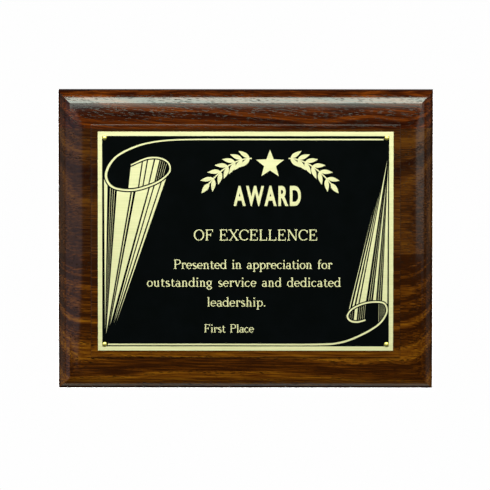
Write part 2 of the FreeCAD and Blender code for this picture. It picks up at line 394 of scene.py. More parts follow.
@dataclass(frozen=True)
class LacqueredWalnut:
    """American black walnut, planed and moulded, under a satin lacquer.

    The heart of the log runs along X beyond the board. Growth rings are circles about it,
    so they show as long figure on the faces and as arcs on the end grain.
    """

    board: str
    heart: Point
    tones: tuple[str, str, str, str]
    seed: float
    ring_mm: float = 7.0
    slope: float = 0.0
    drift: tuple[float, float] = (0.0, 0.0)
    pore_wide_mm: float = 0.55
    pore_long_mm: float = 5.0

    def build(self) -> Material:
        """Build the material.

        Returns:
            The finished material.
        """
        material, tree, place = new_material(f"lacquered_walnut_{self.board}")
        # The fibres run a few degrees off the board's length, as sawn.
        place = stretched(tree, place, Rotation=(0, math.radians(-self.slope), 0))
        rings = self.ring_distance(tree, place)
        figure = self.figure(tree, rings, place)
        pores = self.pores(tree, place, rings)
        colour = add_node(
            tree, "ShaderNodeMix", {"Factor": pores, 6: figure, 7: linear("#140802")},
            data_type="RGBA",
        ).outputs[2]
        # Open pores stay as fine scratches in the lacquer and break its shine.
        grain = add_node(
            tree, "ShaderNodeBump",
            {"Height": math_node(tree, "MULTIPLY", pores, -1.0), "Strength": 0.35,
             "Distance": 0.06 * MM},
        ).outputs["Normal"]
        # Lacquer sinks into the pores, so they stay dark inside the shine.
        film = math_node(tree, "MULTIPLY_ADD", pores, -0.75, 1.0, clamp=True)
        close_material(tree, {
            "Base Color": colour, "Roughness": 0.6, "IOR": 1.45, "Normal": grain,
            "Specular IOR Level": 0.0, "Coat Weight": film, "Coat Roughness": 0.13,
            "Coat IOR": 1.5, "Coat Normal": grain,
        })
        return material

    def ring_distance(self, tree: Tree, place: Socket) -> Socket:
        """Measure the distance from the heart, in rings, with the log's own wander.

        Args:
            tree: the material's node tree.
            place: object coordinates.

        Returns:
            The distance in ring widths.
        """
        # The log wanders up to 11 mm either way, in waves 60 to 140 mm long.
        wander_at = stretched(
            tree, place, Location=(self.seed, self.seed * 2, 0), Scale=(7, 16, 16))
        wander = noise(tree, wander_at, 2.0).outputs["Color"]
        wander = add_node(
            tree, "ShaderNodeVectorMath", {0: wander, 1: (0.5, 0.5, 0.5)}, operation="SUBTRACT"
        ).outputs[0]
        shift = add_node(
            tree, "ShaderNodeVectorMath",
            {0: wander, 1: (0.0, 22 * MM, 22 * MM), 2: place}, operation="MULTIPLY_ADD",
        ).outputs[0]
        across = stretched(
            tree, shift, Location=(0, -self.heart[0] * MM, -self.heart[1] * MM),
            Scale=(0, 1, 1))
        reach = add_node(
            tree, "ShaderNodeVectorMath", {0: across}, operation="LENGTH"
        ).outputs["Value"]
        return math_node(tree, "DIVIDE", reach, self.ring_mm * MM)

    def figure(self, tree: Tree, rings: Socket, place: Socket) -> Socket:
        """Colour the wood by its rings and its fibres.

        Args:
            tree: the material's node tree.
            rings: distance from the heart in ring widths.
            place: object coordinates.

        Returns:
            The wood's colour.
        """
        bands = add_node(
            tree, "ShaderNodeTexNoise",
            {"W": math_node(tree, "ADD", rings, self.seed * 10), "Scale": 1.0, "Detail": 4.0,
             "Roughness": 0.62},
            noise_dimensions="1D",
        ).outputs["Fac"]
        # Fibres show as streaks 1 mm wide and 25 mm long.
        fibre_at = stretched(tree, place, Scale=(40, 1000, 1000))
        fibres = noise(tree, fibre_at, 3.0).outputs["Fac"]
        blend = math_node(tree, "MULTIPLY_ADD", fibres, 0.7, -0.35)
        soft_bands = math_node(tree, "MULTIPLY_ADD", bands, 0.75, 0.125)
        # The colour drifts across the board, from heartwood towards the sap.
        level, rate = self.drift
        height = add_node(tree, "ShaderNodeSeparateXYZ", {0: place}).outputs["Z"]
        drift = math_node(tree, "MULTIPLY_ADD", height, rate, -level * MM * rate)
        tone = math_node(tree, "ADD", math_node(tree, "ADD", soft_bands, blend), drift)
        deep, dark, middle, light = self.tones
        return ramp(tree, tone, [(0.32, deep), (0.44, dark), (0.56, middle), (0.7, light)])

    def pores(self, tree: Tree, place: Socket, rings: Socket) -> Socket:
        """Scatter the long open pores; they are drawn a little wide so that they show.

        Args:
            tree: the material's node tree.
            place: object coordinates.
            rings: distance from the heart in ring widths.

        Returns:
            One inside a pore and zero in solid wood.
        """
        wide, long = 1 / (self.pore_wide_mm * MM), 1 / (self.pore_long_mm * MM)
        pore_at = stretched(tree, place, Scale=(long, wide, wide))
        cells = add_node(
            tree, "ShaderNodeTexVoronoi", {"Vector": pore_at, "Scale": 1.0},
            voronoi_dimensions="3D", feature="F1",
        ).outputs["Distance"]
        crowd = add_node(
            tree, "ShaderNodeTexNoise", {"W": rings, "Scale": 2.0, "Detail": 1.0},
            noise_dimensions="1D",
        ).outputs["Fac"]
        size = math_node(tree, "MULTIPLY", crowd, 0.6)
        inside = math_node(tree, "SUBTRACT", size, cells)
        return math_node(tree, "MULTIPLY", inside, 8.0, clamp=True)


@dataclass(frozen=True)
class EngravingBrass:
    """Engraver's brass sheet, rolled and given a fine satin brush, under clear lacquer."""

    name: str = "satin_brass_sheet"
    pale: str = "#efe0b6"
    deep: str = "#e3d6a6"
    roughness: float = 0.5

    def build(self) -> Material:
        """Build the material.

        Returns:
            The finished material.
        """
        material, tree, place = new_material(self.name)
        # Brush marks run along the sheet, 0.4 mm apart and 30 mm long.
        brushed_at = stretched(tree, place, Scale=(33, 2500, 2500))
        marks = noise(tree, brushed_at, 2.0).outputs["Fac"]
        colour = ramp(tree, marks, [(0.3, self.deep), (0.7, self.pale)])
        rough = math_node(tree, "MULTIPLY_ADD", marks, 0.1, self.roughness - 0.05)
        close_material(tree, {"Base Color": colour, "Metallic": 1.0, "Roughness": rough})
        return material


@dataclass(frozen=True)
class StovedEnamel:
    """Black enamel screened on the brass and stoved: even, dense and glossy."""

    name: str = "stoved_black_enamel"

    def build(self) -> Material:
        """Build the material.

        Returns:
            The finished material.
        """
        material, tree, place = new_material(self.name)
        # A faint cloudiness, 12 mm across, keeps the black from looking like a hole.
        clouds = noise(tree, place, 3.0, 80.0).outputs["Fac"]
        colour = ramp(tree, clouds, [(0.3, "#030404"), (0.8, "#040506")])
        rough = math_node(tree, "MULTIPLY_ADD", clouds, 0.06, 0.09)
        close_material(tree, {"Base Color": colour, "Roughness": rough, "IOR": 1.45})
        return material


@dataclass(frozen=True)
class PlatedSteel:
    """Pressed or turned steel with a thin zinc plating that dulls its shine."""

    name: str
    pale: str
    deep: str

    def build(self) -> Material:
        """Build the material.

        Returns:
            The finished material.
        """
        material, tree, place = new_material(self.name)
        # Zinc sets in spangles about 1.5 mm across.
        spangle = noise(tree, place, 4.0, 650.0).outputs["Fac"]
        colour = ramp(tree, spangle, [(0.35, self.deep), (0.65, self.pale)])
        rough = math_node(tree, "MULTIPLY_ADD", spangle, 0.2, 0.25)
        close_material(tree, {"Base Color": colour, "Metallic": 1.0, "Roughness": rough})
        return material


@dataclass(frozen=True)
class StudioPaper:
    """White paper, pressed to a matt face with a fine tooth."""

    name: str = "white_paper"

    def build(self) -> Material:
        """Build the material.

        Returns:
            The finished material.
        """
        material, tree, place = new_material(self.name)
        # A tooth 2.5 mm across keeps the sheet from looking like plain light.
        tooth = noise(tree, place, 2.0, 400.0).outputs["Fac"]
        colour = ramp(tree, tooth, [(0.2, "#f2f2f1"), (0.8, "#fafafa")])
        close_material(tree, {"Base Color": colour, "Roughness": 0.9})
        return material


# ---------------------------------------------------------------------------
# Walnut block
# ---------------------------------------------------------------------------
@dataclass
class WalnutBlock:
    """The moulded block: three edge-glued boards with hangers let into the back."""

    width: float
    height: float
    depth: float
    glue_lines: tuple[float, float]
    plate_back: float
    pin_places: Sequence[Point]
    moulding_width: float = 22.225 * MM
    moulding_drop: float = 11.1 * MM
    quirk_drop: float = 1.0 * MM
    quirk_width: float = 0.8 * MM
    arris: float = 0.35 * MM
    curve_steps: int = 28
    boards: dict[str, Thing] = field(default_factory=dict)

    def section(self) -> list[Point]:
        """List the moulding's section from the back arris to the land.

        Returns:
            Pairs of inset from the outer edge and distance from the wall.
        """
        run = [(self.arris, 0.0), (0.0, self.arris)]
        shoulder = self.depth - self.moulding_drop
        across = self.moulding_width - self.quirk_width
        rise = self.moulding_drop - self.quirk_drop
        for step in range(self.curve_steps + 1):
            turn = math.pi / 2 * step / self.curve_steps
            run.append((across * (1 - math.cos(turn)), shoulder + rise * math.sin(turn)))
        land, ease = self.moulding_width, self.arris
        run.append((land - 0.2 * ease, self.depth - self.quirk_drop))
        run.append((land, self.depth - self.quirk_drop + 0.2 * ease))
        for turn in (0.0, math.pi / 8, math.pi / 4, 3 * math.pi / 8, math.pi / 2):
            run.append((land + ease * (1 - math.cos(turn)),
                        self.depth - ease * (1 - math.sin(turn))))
        return run

    def model_blank(self) -> Thing:
        """Model the whole block by drawing its back face out through the section.

        Returns:
            The closed block.
        """
        sections = [(self.width - 2 * inset, self.height - 2 * inset, reach)
                    for inset, reach in self.section()]
        bpy.ops.object.select_all(action="DESELECT")
        bpy.ops.mesh.primitive_plane_add(size=1.0, rotation=(math.pi / 2, 0, 0))
        blank = bpy.context.active_object
        blank.scale = (*sections[0][:2], 1.0)
        settle(blank)
        with editing(blank):
            draw_out(sections)
            self.ease_corners(blank)
        return blank

    def ease_corners(self, blank: Thing) -> None:
        """Take the sharpness off the four upright corners, in edit mode.

        Args:
            blank: the block being edited.
        """
        half_width, half_height = self.width / 2, self.height / 2

        def at_corner(a: Vector, b: Vector) -> bool:
            """Say whether an edge runs front to back at a corner of the straight side."""
            near = 0.1 * MM
            return all(abs(abs(p.x) - half_width) < near and abs(abs(p.z) - half_height) < near
                       for p in (a, b)) and abs(a.y - b.y) > 1 * MM

        pick_edges(blank, at_corner)
        bpy.ops.mesh.bevel(offset=self.arris, segments=2, affect="EDGES")

    def saw_boards(self, blank: Thing) -> None:
        """Part the block at its glue lines into three boards.

        Args:
            blank: the whole block, which is used up.
        """
        upper, lower = self.glue_lines
        limits = {"top": (upper, None), "middle": (lower, upper), "bottom": (None, lower)}
        for place, (low, high) in limits.items():
            board = copy_of(blank)
            for level, clear_above in ((low, False), (high, True)):
                if level is None:
                    continue
                with editing(board):
                    bpy.ops.mesh.bisect(
                        plane_co=(0, 0, level), plane_no=(0, 0, 1), use_fill=True,
                        clear_outer=clear_above, clear_inner=not clear_above)
            self.boards[place] = board
        bpy.data.objects.remove(blank)

    def rout(self, centre: Point, first: Point, last: Point, radius: float,
             deep: float, boards: Sequence[str]) -> None:
        """Rout a round-ended recess into the back of one or more boards.

        Args:
            centre: where the recess is, in X and Z.
            first: one end's centre, from the recess's centre.
            last: the other end's centre, from the recess's centre.
            radius: half the recess's breadth.
            deep: how far it goes in from the back.
            boards: the places of the boards that it reaches.
        """
        past = 1 * MM
        along = Vector((last[0] - first[0], last[1] - first[1]))
        middle = Vector((centre[0] + first[0], centre[1] + first[1]))
        for place in boards:
            cutter = rod(radius, deep + past, (middle.x, (past - deep) / 2, middle.y), 64)
            with editing(cutter):
                self.stretch(cutter, middle, along)
            cut_away(self.boards[place], cutter)

    @staticmethod
    def stretch(cutter: Thing, middle: Vector, along: Vector) -> None:
        """Draw one half of a round cutter out along a direction, in edit mode.

        Args:
            cutter: the round cutter being edited.
            middle: its axis, in X and Z.
            along: how far and which way the half moves, in X and Z.
        """
        bpy.ops.mesh.select_all(action="DESELECT")
        shape = bmesh.from_edit_mesh(cutter.data)
        for vertex in shape.verts:
            offset = Vector((vertex.co.x, vertex.co.z)) - middle
            vertex.select = offset.dot(along) > 1e-9
        bmesh.update_edit_mesh(cutter.data)
        bpy.ops.transform.translate(value=(along.x, 0, along.y))

    def let_in_hangers(self) -> None:
        """Rout both hanger recesses and the rooms behind their keyholes."""
        for node, turned in (("keyhole_hanger_top", False), ("keyhole_hanger_side", True)):
            low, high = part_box(node)
            centre = centre_of(node)
            long, broad = max(high.x - low.x, high.z - low.z), min(high.x - low.x, high.z - low.z)
            reach = (long - broad) / 2
            play, room, drop, rise, deep = 0.25 * MM, 5.25 * MM, 3.4 * MM, 4.0 * MM, 9.0 * MM
            boards = ("middle", "bottom") if turned else ("middle",)
            ends = ((0, -reach), (0, reach)) if turned else ((-reach, 0), (reach, 0))
            self.rout(centre, *ends, broad / 2 + play, high.y - low.y, boards)
            travel = ((drop, 0), (-rise, 0)) if turned else ((0, -drop), (0, rise))
            self.rout(centre, *travel, room, deep, ("middle",))

    def drill(self, centre: Point, radius: float, start: float, stop: float) -> None:
        """Drill a hole in whichever boards it reaches.

        Args:
            centre: the hole's middle, in X and Z.
            radius: half the bit's breadth.
            start: where the hole opens, in Y.
            stop: where the hole ends, in Y.
        """
        past = math.copysign(1 * MM, start - stop)
        upper, lower = self.glue_lines
        reached = {"top": centre[1] + radius > upper, "bottom": centre[1] - radius < lower,
                   "middle": centre[1] - radius < upper and centre[1] + radius > lower}
        for place, is_reached in reached.items():
            if not is_reached:
                continue
            length, middle = abs(start + past - stop), (start + past + stop) / 2
            cut_away(self.boards[place], rod(radius, length, (centre[0], middle, centre[1])))

    def drill_holes(self) -> None:
        """Drill for the plate's pins and the hangers' screws."""
        pin_radius, pin_tip = 0.6 * MM, -7.6 * MM
        screw_radius, screw_tip = 1.35 * MM, -12.1 * MM
        for centre in self.pin_places:
            self.drill(centre, pin_radius, self.plate_back, pin_tip)
        for name in ("top_left", "top_right", "side_lower", "side_upper"):
            self.drill(centre_of(f"hanger_screw_{name}"), screw_radius, 0.0, screw_tip)

    def build(self) -> None:
        """Model the block, part it, rout it and dress the boards."""
        self.saw_boards(self.model_blank())
        self.let_in_hangers()
        self.drill_holes()
        hearts = {
            "top": LacqueredWalnut(
                "top", (60.0, 40.0), ("#180401", "#280a01", "#3e1602", "#5c2704"), 0.31,
                ring_mm=6.0, slope=5.0),
            "middle": LacqueredWalnut(
                "middle", (120.0, 0.0), ("#1b0702", "#291103", "#3a1b05", "#4c2907"), 0.57,
                ring_mm=7.0, slope=0.5),
            "bottom": LacqueredWalnut(
                "bottom", (120.0, -150.0), ("#220b01", "#391801", "#502804", "#6f4007"), 0.83,
                ring_mm=6.0, slope=1.0, drift=(-84.0, -2.6)),
        }
        for place, board in self.boards.items():
            finish_mesh(board, f"board_{place}")
            coat(board, hearts[place].build())
            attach(board, BODY)
            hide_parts(f"walnut_board_{place}")
            LOG.info("board %s: %d faces", place, len(board.data.polygons))


# ---------------------------------------------------------------------------
# Artwork on the plate
# ---------------------------------------------------------------------------
def smooth_through(knots: Sequence[tuple[float, ...]], steps: int = 14) -> list[tuple]:
    """Pass a smooth line through knots, whose every number is smoothed alike.

    Args:
        knots: places, with a half width as their last number.
        steps: points from one knot to the next.

    Returns:
        The points of the line.
    """
    padded = [knots[0], *knots, knots[-1]]
    line = []
    for a, b, c, d in zip(padded, padded[1:], padded[2:], padded[3:]):
        for step in range(steps):
            t = step / steps
            line.append(tuple(
                0.5 * (2 * q + (r - p) * t + (2 * p - 5 * q + 4 * r - s) * t * t
                       + (3 * q - p - 3 * r + s) * t ** 3)
                for p, q, r, s in zip(a, b, c, d)))
    line.append(tuple(knots[-1]))
    return line


def ribbon(line: Sequence[tuple[float, float, float]]) -> Loop:
    """Outline a ribbon of changing width about a line.

    Args:
        line: points with their half widths.

    Returns:
        The ribbon's closed outline.
    """
    left, right = [], []
    for before, here, after in zip([line[0], *line], line, [*line[1:], line[-1]]):
        along = Vector((after[0] - before[0], after[1] - before[1])).normalized()
        side = Vector((-along.y, along.x)) * here[2]
        left.append(Vector(here[:2]) + side)
        right.append(Vector(here[:2]) - side)
    return left + right[::-1]


@dataclass(frozen=True)
class Stripe:
    """A band between two lines that may meet at a tip; places are in millimetres.

    low and high hold the left and right corner at each end, on the middle of the enamel
    lines that part it from its neighbours.
    """

    low: tuple[Point, Point]
    high: tuple[Point, Point]
    closed_low: bool = False
    margin: float = 0.19

    def outline(self, lip: Sequence[tuple[float, float, float]], gap: float) -> Loop:
        """Trim the stripe where it comes near the scroll's lip.

        Args:
            lip: the scroll's line with its half widths.
            gap: the enamel left between the stripe and the lip.

        Returns:
            The stripe's closed outline.
        """
        piece, overshoot = 1.2, 1.4
        broad = (Vector(self.high[1]) - Vector(self.high[0])).length
        count = max(1, round(broad / piece))
        trim = self.margin / broad
        tops, bottoms = [], []
        for number in range(count + 1):
            share = trim + (1 - 2 * trim) * number / count
            low = Vector(self.low[0]).lerp(Vector(self.low[1]), share)
            high = Vector(self.high[0]).lerp(Vector(self.high[1]), share)
            middle = low.lerp(high, 0.5 if self.closed_low else 0.0)
            tops.append(walk(middle, middle + (high - low) * overshoot, lip, gap))
            if self.closed_low:
                bottoms.append(walk(middle, middle - (high - low) * overshoot, lip, gap))
            else:
                bottoms.append(low)
        if not self.closed_low:
            bottoms = [bottoms[0]] if self.low[0] == self.low[1] else [bottoms[0], bottoms[-1]]
        return tops + bottoms[::-1]


def walk(start: Vector, stop: Vector, lip: Sequence[tuple[float, float, float]],
         gap: float) -> Vector:
    """Go from start towards stop and halt a gap before the lip's edge.

    Args:
        start: where the walk begins, clear of the lip.
        stop: the furthest it may go.
        lip: the line to keep clear of, with its half widths.
        gap: how much room to leave.

    Returns:
        The last place clear of the lip.
    """
    near, far, steps = 0.0, 1.0, 160

    def clear(share: float) -> bool:
        """Say whether a place on the walk is clear of the lip."""
        place = start.lerp(stop, share)
        return all((place.x - x) ** 2 + (place.y - y) ** 2 > (half + gap) ** 2
                   for x, y, half in lip)

    for step in range(1, steps + 1):
        if not clear(step / steps):
            near, far = (step - 1) / steps, step / steps
            break
    for _ in range(8):
        middle = (near + far) / 2
        near, far = (middle, far) if clear(middle) else (near, middle)
    return start.lerp(stop, near)


@dataclass
class Scroll:
    """A rolled corner of parchment: a curling lip, the fan of its folds and its inside."""

    knots: Sequence[tuple[float, float, float]]
    fan: Sequence[Stripe]
    inside: Sequence[Stripe]
    gap: float = 0.85

    def outlines(self) -> list[Loop]:
        """Outline every bare-metal shape of the scroll.

        Returns:
            Closed outlines in millimetres.
        """
        lip = smooth_through(self.knots)
        shapes = [ribbon(lip)]
        shapes += [stripe.outline(lip, self.gap) for stripe in (*self.fan, *self.inside)]
        return shapes


def pleats(count: int, low: Point, low_step: Point, high: Point, high_step: Point,
           broad: float, closed_low: bool = False) -> list[Stripe]:
    """Repeat a thin stripe across a fold, as an engraver shades it.

    Args:
        count: how many lines.
        low: the first line's low end.
        low_step: from one low end to the next.
        high: the first line's high end.
        high_step: from one high end to the next.
        broad: a line's width at its high end.
        closed_low: whether the lip trims the low end too.

    Returns:
        The stripes.
    """
    lines = []
    for number in range(count):
        foot = (low[0] + low_step[0] * number, low[1] + low_step[1] * number)
        head = (high[0] + high_step[0] * number, high[1] + high_step[1] * number)
        feet = ((foot[0], foot[1]), (foot[0] + broad * closed_low, foot[1]))
        lines.append(Stripe(feet, (head, (head[0] + broad, head[1])), closed_low))
    return lines


def upper_scroll() -> Scroll:
    """Draw the scroll of the upper left corner.

    Returns:
        The scroll.
    """
    knots = (
        (93.3, 69.4, 0.5), (20.0, 69.4, 0.5), (-38.0, 69.3, 0.45), (-60.2, 67.9, 0.5),
        (-75.8, 63.9, 0.6), (-88.6, 56.6, 0.68), (-94.4, 46.2, 0.8), (-91.8, 38.4, 0.7),
        (-84.7, 35.3, 0.62), (-73.8, 35.3, 0.62), (-60.2, 40.0, 0.58), (-51.9, 46.8, 0.5),
        (-52.0, 53.0, 0.5), (-58.0, 56.6, 0.52), (-66.8, 56.5, 0.52), (-77.7, 51.9, 0.45),
    )
    fan = [
        Stripe(((-95.2, -60.7),) * 2, ((-95.9, 40.0), (-93.4, 37.5))),
        Stripe(((-94.5, -63.4),) * 2, ((-87.3, 33.5), (-77.7, 33.5))),
        Stripe(((-92.9, -60.0),) * 2, ((-76.9, 34.2), (-75.7, 34.2))),
        Stripe(((-91.8, -57.3),) * 2, ((-74.6, 33.7), (-66.0, 34.8))),
        Stripe(((-89.9, -56.7),) * 2, ((-65.1, 36.0), (-62.6, 36.6))),
        Stripe(((-89.3, -56.9),) * 2, ((-61.8, 37.4), (-58.0, 38.4))),
        Stripe(((-88.2, -57.2),) * 2, ((-57.1, 39.4), (-54.2, 41.4))),
        *pleats(3, (-95.0, -59.0), (0.12, -1.0), (-91.9, 34.4), (1.45, -0.2), 0.62),
    ]
    inside = [
        Stripe(((-79.4, 36.3), (-72.7, 37.2)), ((-77.9, 50.9), (-70.2, 53.6)), True),
        Stripe(((-72.1, 37.2), (-69.8, 37.6)), ((-69.6, 54.0), (-66.7, 55.0)), True),
        Stripe(((-69.2, 37.8), (-65.8, 39.0)), ((-66.1, 55.2), (-62.0, 55.4)), True),
        Stripe(((-65.2, 39.2), (-61.6, 40.8)), ((-61.4, 55.3), (-58.2, 55.0)), True),
        *pleats(4, (-60.9, 41.3), (1.55, 0.9), (-57.6, 54.9), (1.35, -0.5), 0.55, True),
    ]
    return Scroll(knots, fan, inside)


def lower_scroll() -> Scroll:
    """Draw the scroll of the lower right corner.

    Returns:
        The scroll.
    """
    knots = (
        (-93.3, -70.4, 0.55), (-20.0, -70.4, 0.58), (46.0, -70.4, 0.62), (64.2, -69.1, 0.64),
        (77.7, -64.2, 0.62), (89.8, -57.0, 0.6), (95.3, -49.5, 0.55), (95.2, -44.0, 0.55),
        (91.6, -41.5, 0.55), (82.2, -41.9, 0.55), (73.0, -45.6, 0.52), (69.1, -50.6, 0.55),
        (71.0, -54.1, 0.58), (75.9, -55.0, 0.6), (81.3, -53.6, 0.5),
    )
    fan = [
        Stripe(((87.1, 24.2),) * 2, ((71.0, -45.4), (69.9, -46.6))),
        Stripe(((90.0, 31.8),) * 2, ((73.9, -43.8), (72.2, -44.6))),
        Stripe(((91.8, 37.5),) * 2, ((76.6, -42.2), (74.9, -43.0))),
        Stripe(((95.9, 56.0),) * 2, ((81.8, -40.8), (77.3, -41.6))),
        Stripe(((95.2, 40.9),) * 2, ((88.6, -39.9), (86.2, -39.9))),
        Stripe(((96.4, 51.8),) * 2, ((96.2, -42.5), (92.4, -40.2))),
        *pleats(2, (95.2, 40.0), (-0.2, 5.0), (84.6, -40.2), (-1.45, 0.0), 0.65),
        *pleats(2, (96.0, 36.0), (-0.2, 5.0), (90.9, -39.9), (-1.4, 0.0), 0.65),
    ]
    inside = [
        *pleats(2, (70.5, -52.5), (1.3, 0.0), (71.2, -46.5), (1.3, 0.5), 0.5, True),
        Stripe(((73.3, -53.0), (75.5, -53.0)), ((74.0, -46.0), (76.3, -45.4)), True),
        *pleats(4, (76.4, -52.5), (1.25, 0.0), (77.2, -44.5), (1.25, 0.3), 0.55, True),
        Stripe(((90.0, -54.8), (90.6, -54.4)), ((90.1, -43.0), (90.7, -43.0)), True),
        *pleats(4, (91.4, -53.0), (0.8, 1.2), (91.5, -43.5), (0.8, -0.2), 0.5, True),
    ]
    return Scroll(knots, fan, inside, gap=0.75)


# ---------------------------------------------------------------------------
# Lettering
# ---------------------------------------------------------------------------
Stroke = list[tuple[float, float, float]]


@dataclass(frozen=True)
class Pen:
    """A broad pen on letters whose capitals are ten units tall."""

    thick: float = 0.64
    thin: float = 0.36

    def line(self, start: Point, stop: Point, broad: bool = False) -> list[Stroke]:
        """Draw a straight stroke, thin unless it is broad."""
        half = self.thick if broad else self.thin
        return [[(*start, half), (*stop, half)]]

    def oval(self, centre: Point, reach: Point, start: float, stop: float) -> list[Stroke]:
        """Draw part of an oval that swells at its sides.

        Args:
            centre: its middle.
            reach: its half width and half height.
            start: where it starts, in degrees from the right.
            stop: where it stops, in degrees.

        Returns:
            The stroke, or two overlapping halves if it goes all the way round.
        """
        if abs(stop - start) > 300:
            middle = (start + stop) / 2
            return (self.oval(centre, reach, start, middle + 4)
                    + self.oval(centre, reach, middle - 4, stop))
        count = max(3, round(abs(stop - start) / 20))
        stroke = []
        for step in range(count + 1):
            turn = math.radians(start + (stop - start) * step / count)
            swell = self.thin + (self.thick - self.thin) * math.cos(turn) ** 2
            stroke.append((centre[0] + reach[0] * math.cos(turn),
                           centre[1] + reach[1] * math.sin(turn), swell))
        return [stroke]

    def foot(self, x: float, y: float, left: float = 1.3, right: float = 1.3) -> list[Stroke]:
        """Draw a serif that reaches left and right of a stem."""
        return self.line((x - left, y), (x + right, y))

    def stem(self, x: float, low: float, high: float, flag: bool = True,
             sole: bool = True) -> list[Stroke]:
        """Draw an upright with a flag at its top left and a serif below.

        Args:
            x: where it stands.
            low: its lower end.
            high: its upper end.
            flag: whether it has a flag.
            sole: whether it has a serif below.

        Returns:
            The strokes.
        """
        strokes = self.line((x, low), (x, high), True)
        if flag:
            strokes += self.foot(x, high - self.thin, 1.2, 0.3)
        if sole:
            strokes += self.foot(x, low + self.thin)
        return strokes

    def dot(self, x: float, y: float) -> list[Stroke]:
        """Draw a square dot."""
        return [[(x - 0.75, y, 0.75), (x + 0.75, y, 0.75)]]

    def letters(self) -> dict[str, tuple[float, list[Stroke]]]:
        """Draw the roman letters that the plate needs.

        Returns:
            For each letter its breadth and its strokes.
        """
        line, oval, stem, foot = self.line, self.oval, self.stem, self.foot
        base, top, small_top = 0.33, 10 - self.thin, 6.1
        cap_round, bowl = ((5.0, 5), (4.1, 4.7)), ((3.1, 3.2), (2.5, 2.95))
        arms = (stem(2.0, 0, 10) + line((2, top), (7.4, top)) + line((7.1, 10), (7.1, 7.6))
                + line((2, 5.1), (5.4, 5.1)) + line((5.4, 6.3), (5.4, 3.9)))
        arch = oval((3.4, 4.0), (1.8, 2.3), 0, 180) + stem(5.2, 0, 4.1, flag=False)
        ring = oval(*bowl, 0, 372)
        return {
            "C": (9.4, oval(*cap_round, 42, 318) + line((8.2, 9.2), (8.2, 6.6))),
            "E": (8.9, arms + line((2, base), (7.8, base)) + line((7.6, 0), (7.6, 2.7))),
            "F": (8.3, arms),
            "L": (8.6, stem(2.0, 0, 10) + foot(2.0, top) + line((2, base), (7.6, base))
                  + line((7.4, 0), (7.4, 2.9))),
            "N": (10.8, line((2, 0), (2, 10)) + line((2, 9.8), (8.6, 0.2), True)
                  + line((8.6, 0), (8.6, 10)) + foot(2, base) + foot(2, top, 1.3, 0)
                  + foot(8.6, top)),
            "O": (10.4, oval(*cap_round, 0, 372)),
            "P": (8.3, stem(2.0, 0, 10) + line((2, top), (4.7, top))
                  + oval((4.6, 7.3), (2.7, 2.4), 90, -90) + line((2, 4.9), (4.7, 4.9))),
            "X": (9.8, line((1.5, 10), (8.2, 0), True) + line((8.0, 10), (1.6, 0))
                  + foot(1.7, top) + foot(7.9, top) + foot(1.7, base) + foot(8.0, base)),
            "a": (6.2, oval((2.6, 1.8), (1.9, 1.6), 0, 372) + stem(4.5, 0, 4.4, False, False)
                  + oval((2.8, 4.4), (1.7, 1.8), 0, 155) + foot(4.5, base, 0, 1.4)),
            "c": (5.9, oval(*bowl, 42, 318)),
            "d": (7.2, ring + stem(5.5, 0, 10, sole=False) + foot(5.5, base, 0, 1.3)),
            "e": (6.3, oval(*bowl, 0, 318) + line((0.9, 3.4), (5.6, 3.4))),
            "f": (4.6, stem(2.0, 0, 7.8, flag=False) + line((0.5, small_top), (4.0, small_top))
                  + oval((3.5, 7.8), (1.5, 1.9), 55, 180)),
            "g": (6.5, oval((2.8, 3.9), (2.1, 2.3), 0, 372) + line((1.6, 1.8), (3.6, 0.5))
                  + oval((2.9, -1.1), (2.4, 1.6), 0, 372) + line((4.4, 5.9), (6.0, 6.2))),
            "h": (7.2, stem(1.7, 0, 10) + arch),
            "i": (3.7, stem(1.8, 0, 6.4) + self.dot(1.8, 8.9)),
            "l": (3.7, stem(1.8, 0, 10)),
            "n": (7.2, stem(1.7, 0, 6.4) + arch),
            "o": (6.4, ring),
            "p": (7.1, stem(1.7, -3.2, 6.4) + oval((3.9, 3.2), (2.4, 2.95), 0, 372)),
            "r": (5.3, stem(1.7, 0, 6.4) + oval((3.3, 4.6), (1.6, 1.6), 45, 180)
                  + self.dot(4.3, 5.4)),
            "s": (5.2, oval((2.5, 4.8), (1.6, 1.4), 30, 260) + oval((2.6, 1.75), (1.8, 1.5), 80, -150)
                  + line((1.3, 4.2), (3.9, 2.3), True)),
            "t": (4.8, stem(2.0, 1.3, 8.2, False, False) + line((0.6, small_top), (4.1, small_top))
                  + oval((3.4, 1.6), (1.4, 1.4), 180, 320)),
            "u": (7.3, stem(1.7, 2.0, 6.4, sole=False) + oval((3.4, 2.0), (1.7, 1.8), 180, 360)
                  + stem(5.2, 0, 6.4, sole=False) + foot(5.2, base, 0, 1.3)),
            "v": (6.4, line((0.9, 6.4), (3.2, 0.1), True) + line((5.5, 6.4), (3.2, 0.1))
                  + foot(1.0, small_top) + foot(5.4, small_top)),
            ".": (3.0, self.dot(1.5, 0.75)),
            " ": (5.0, []),
        }


class Face(Enum):
    """The two kinds of lettering on the plate."""

    ROMAN = "roman"
    HEAVY = "heavy sans"


@dataclass(frozen=True)
class Wording:
    """One line of lettering, with its box in millimetres from baseline to capital height."""

    words: str
    left: float
    right: float
    low: float
    high: float
    face: Face = Face.ROMAN

    def outlines(self) -> list[Loop]:
        """Outline every stroke of a roman line, fitted to its box.

        Returns:
            Closed outlines in millimetres.
        """
        letters = Pen().letters()
        tall = (self.high - self.low) / 10
        natural = sum(letters[letter][0] for letter in self.words)
        spare = ((self.right - self.left) / tall - natural) / (len(self.words) - 1)
        shapes, x = [], 0.0
        for letter in self.words:
            broad, strokes = letters[letter]
            for stroke in strokes:
                shapes.append(ribbon([
                    (self.left + (x + px) * tall, self.low + py * tall, half * tall)
                    for px, py, half in stroke]))
            x += broad + spare
        return shapes


class Mark(Enum):
    """The small drawings on the plate."""

    STAR = "star"
    LAUREL_LEFT = "laurel left"
    LAUREL_RIGHT = "laurel right"


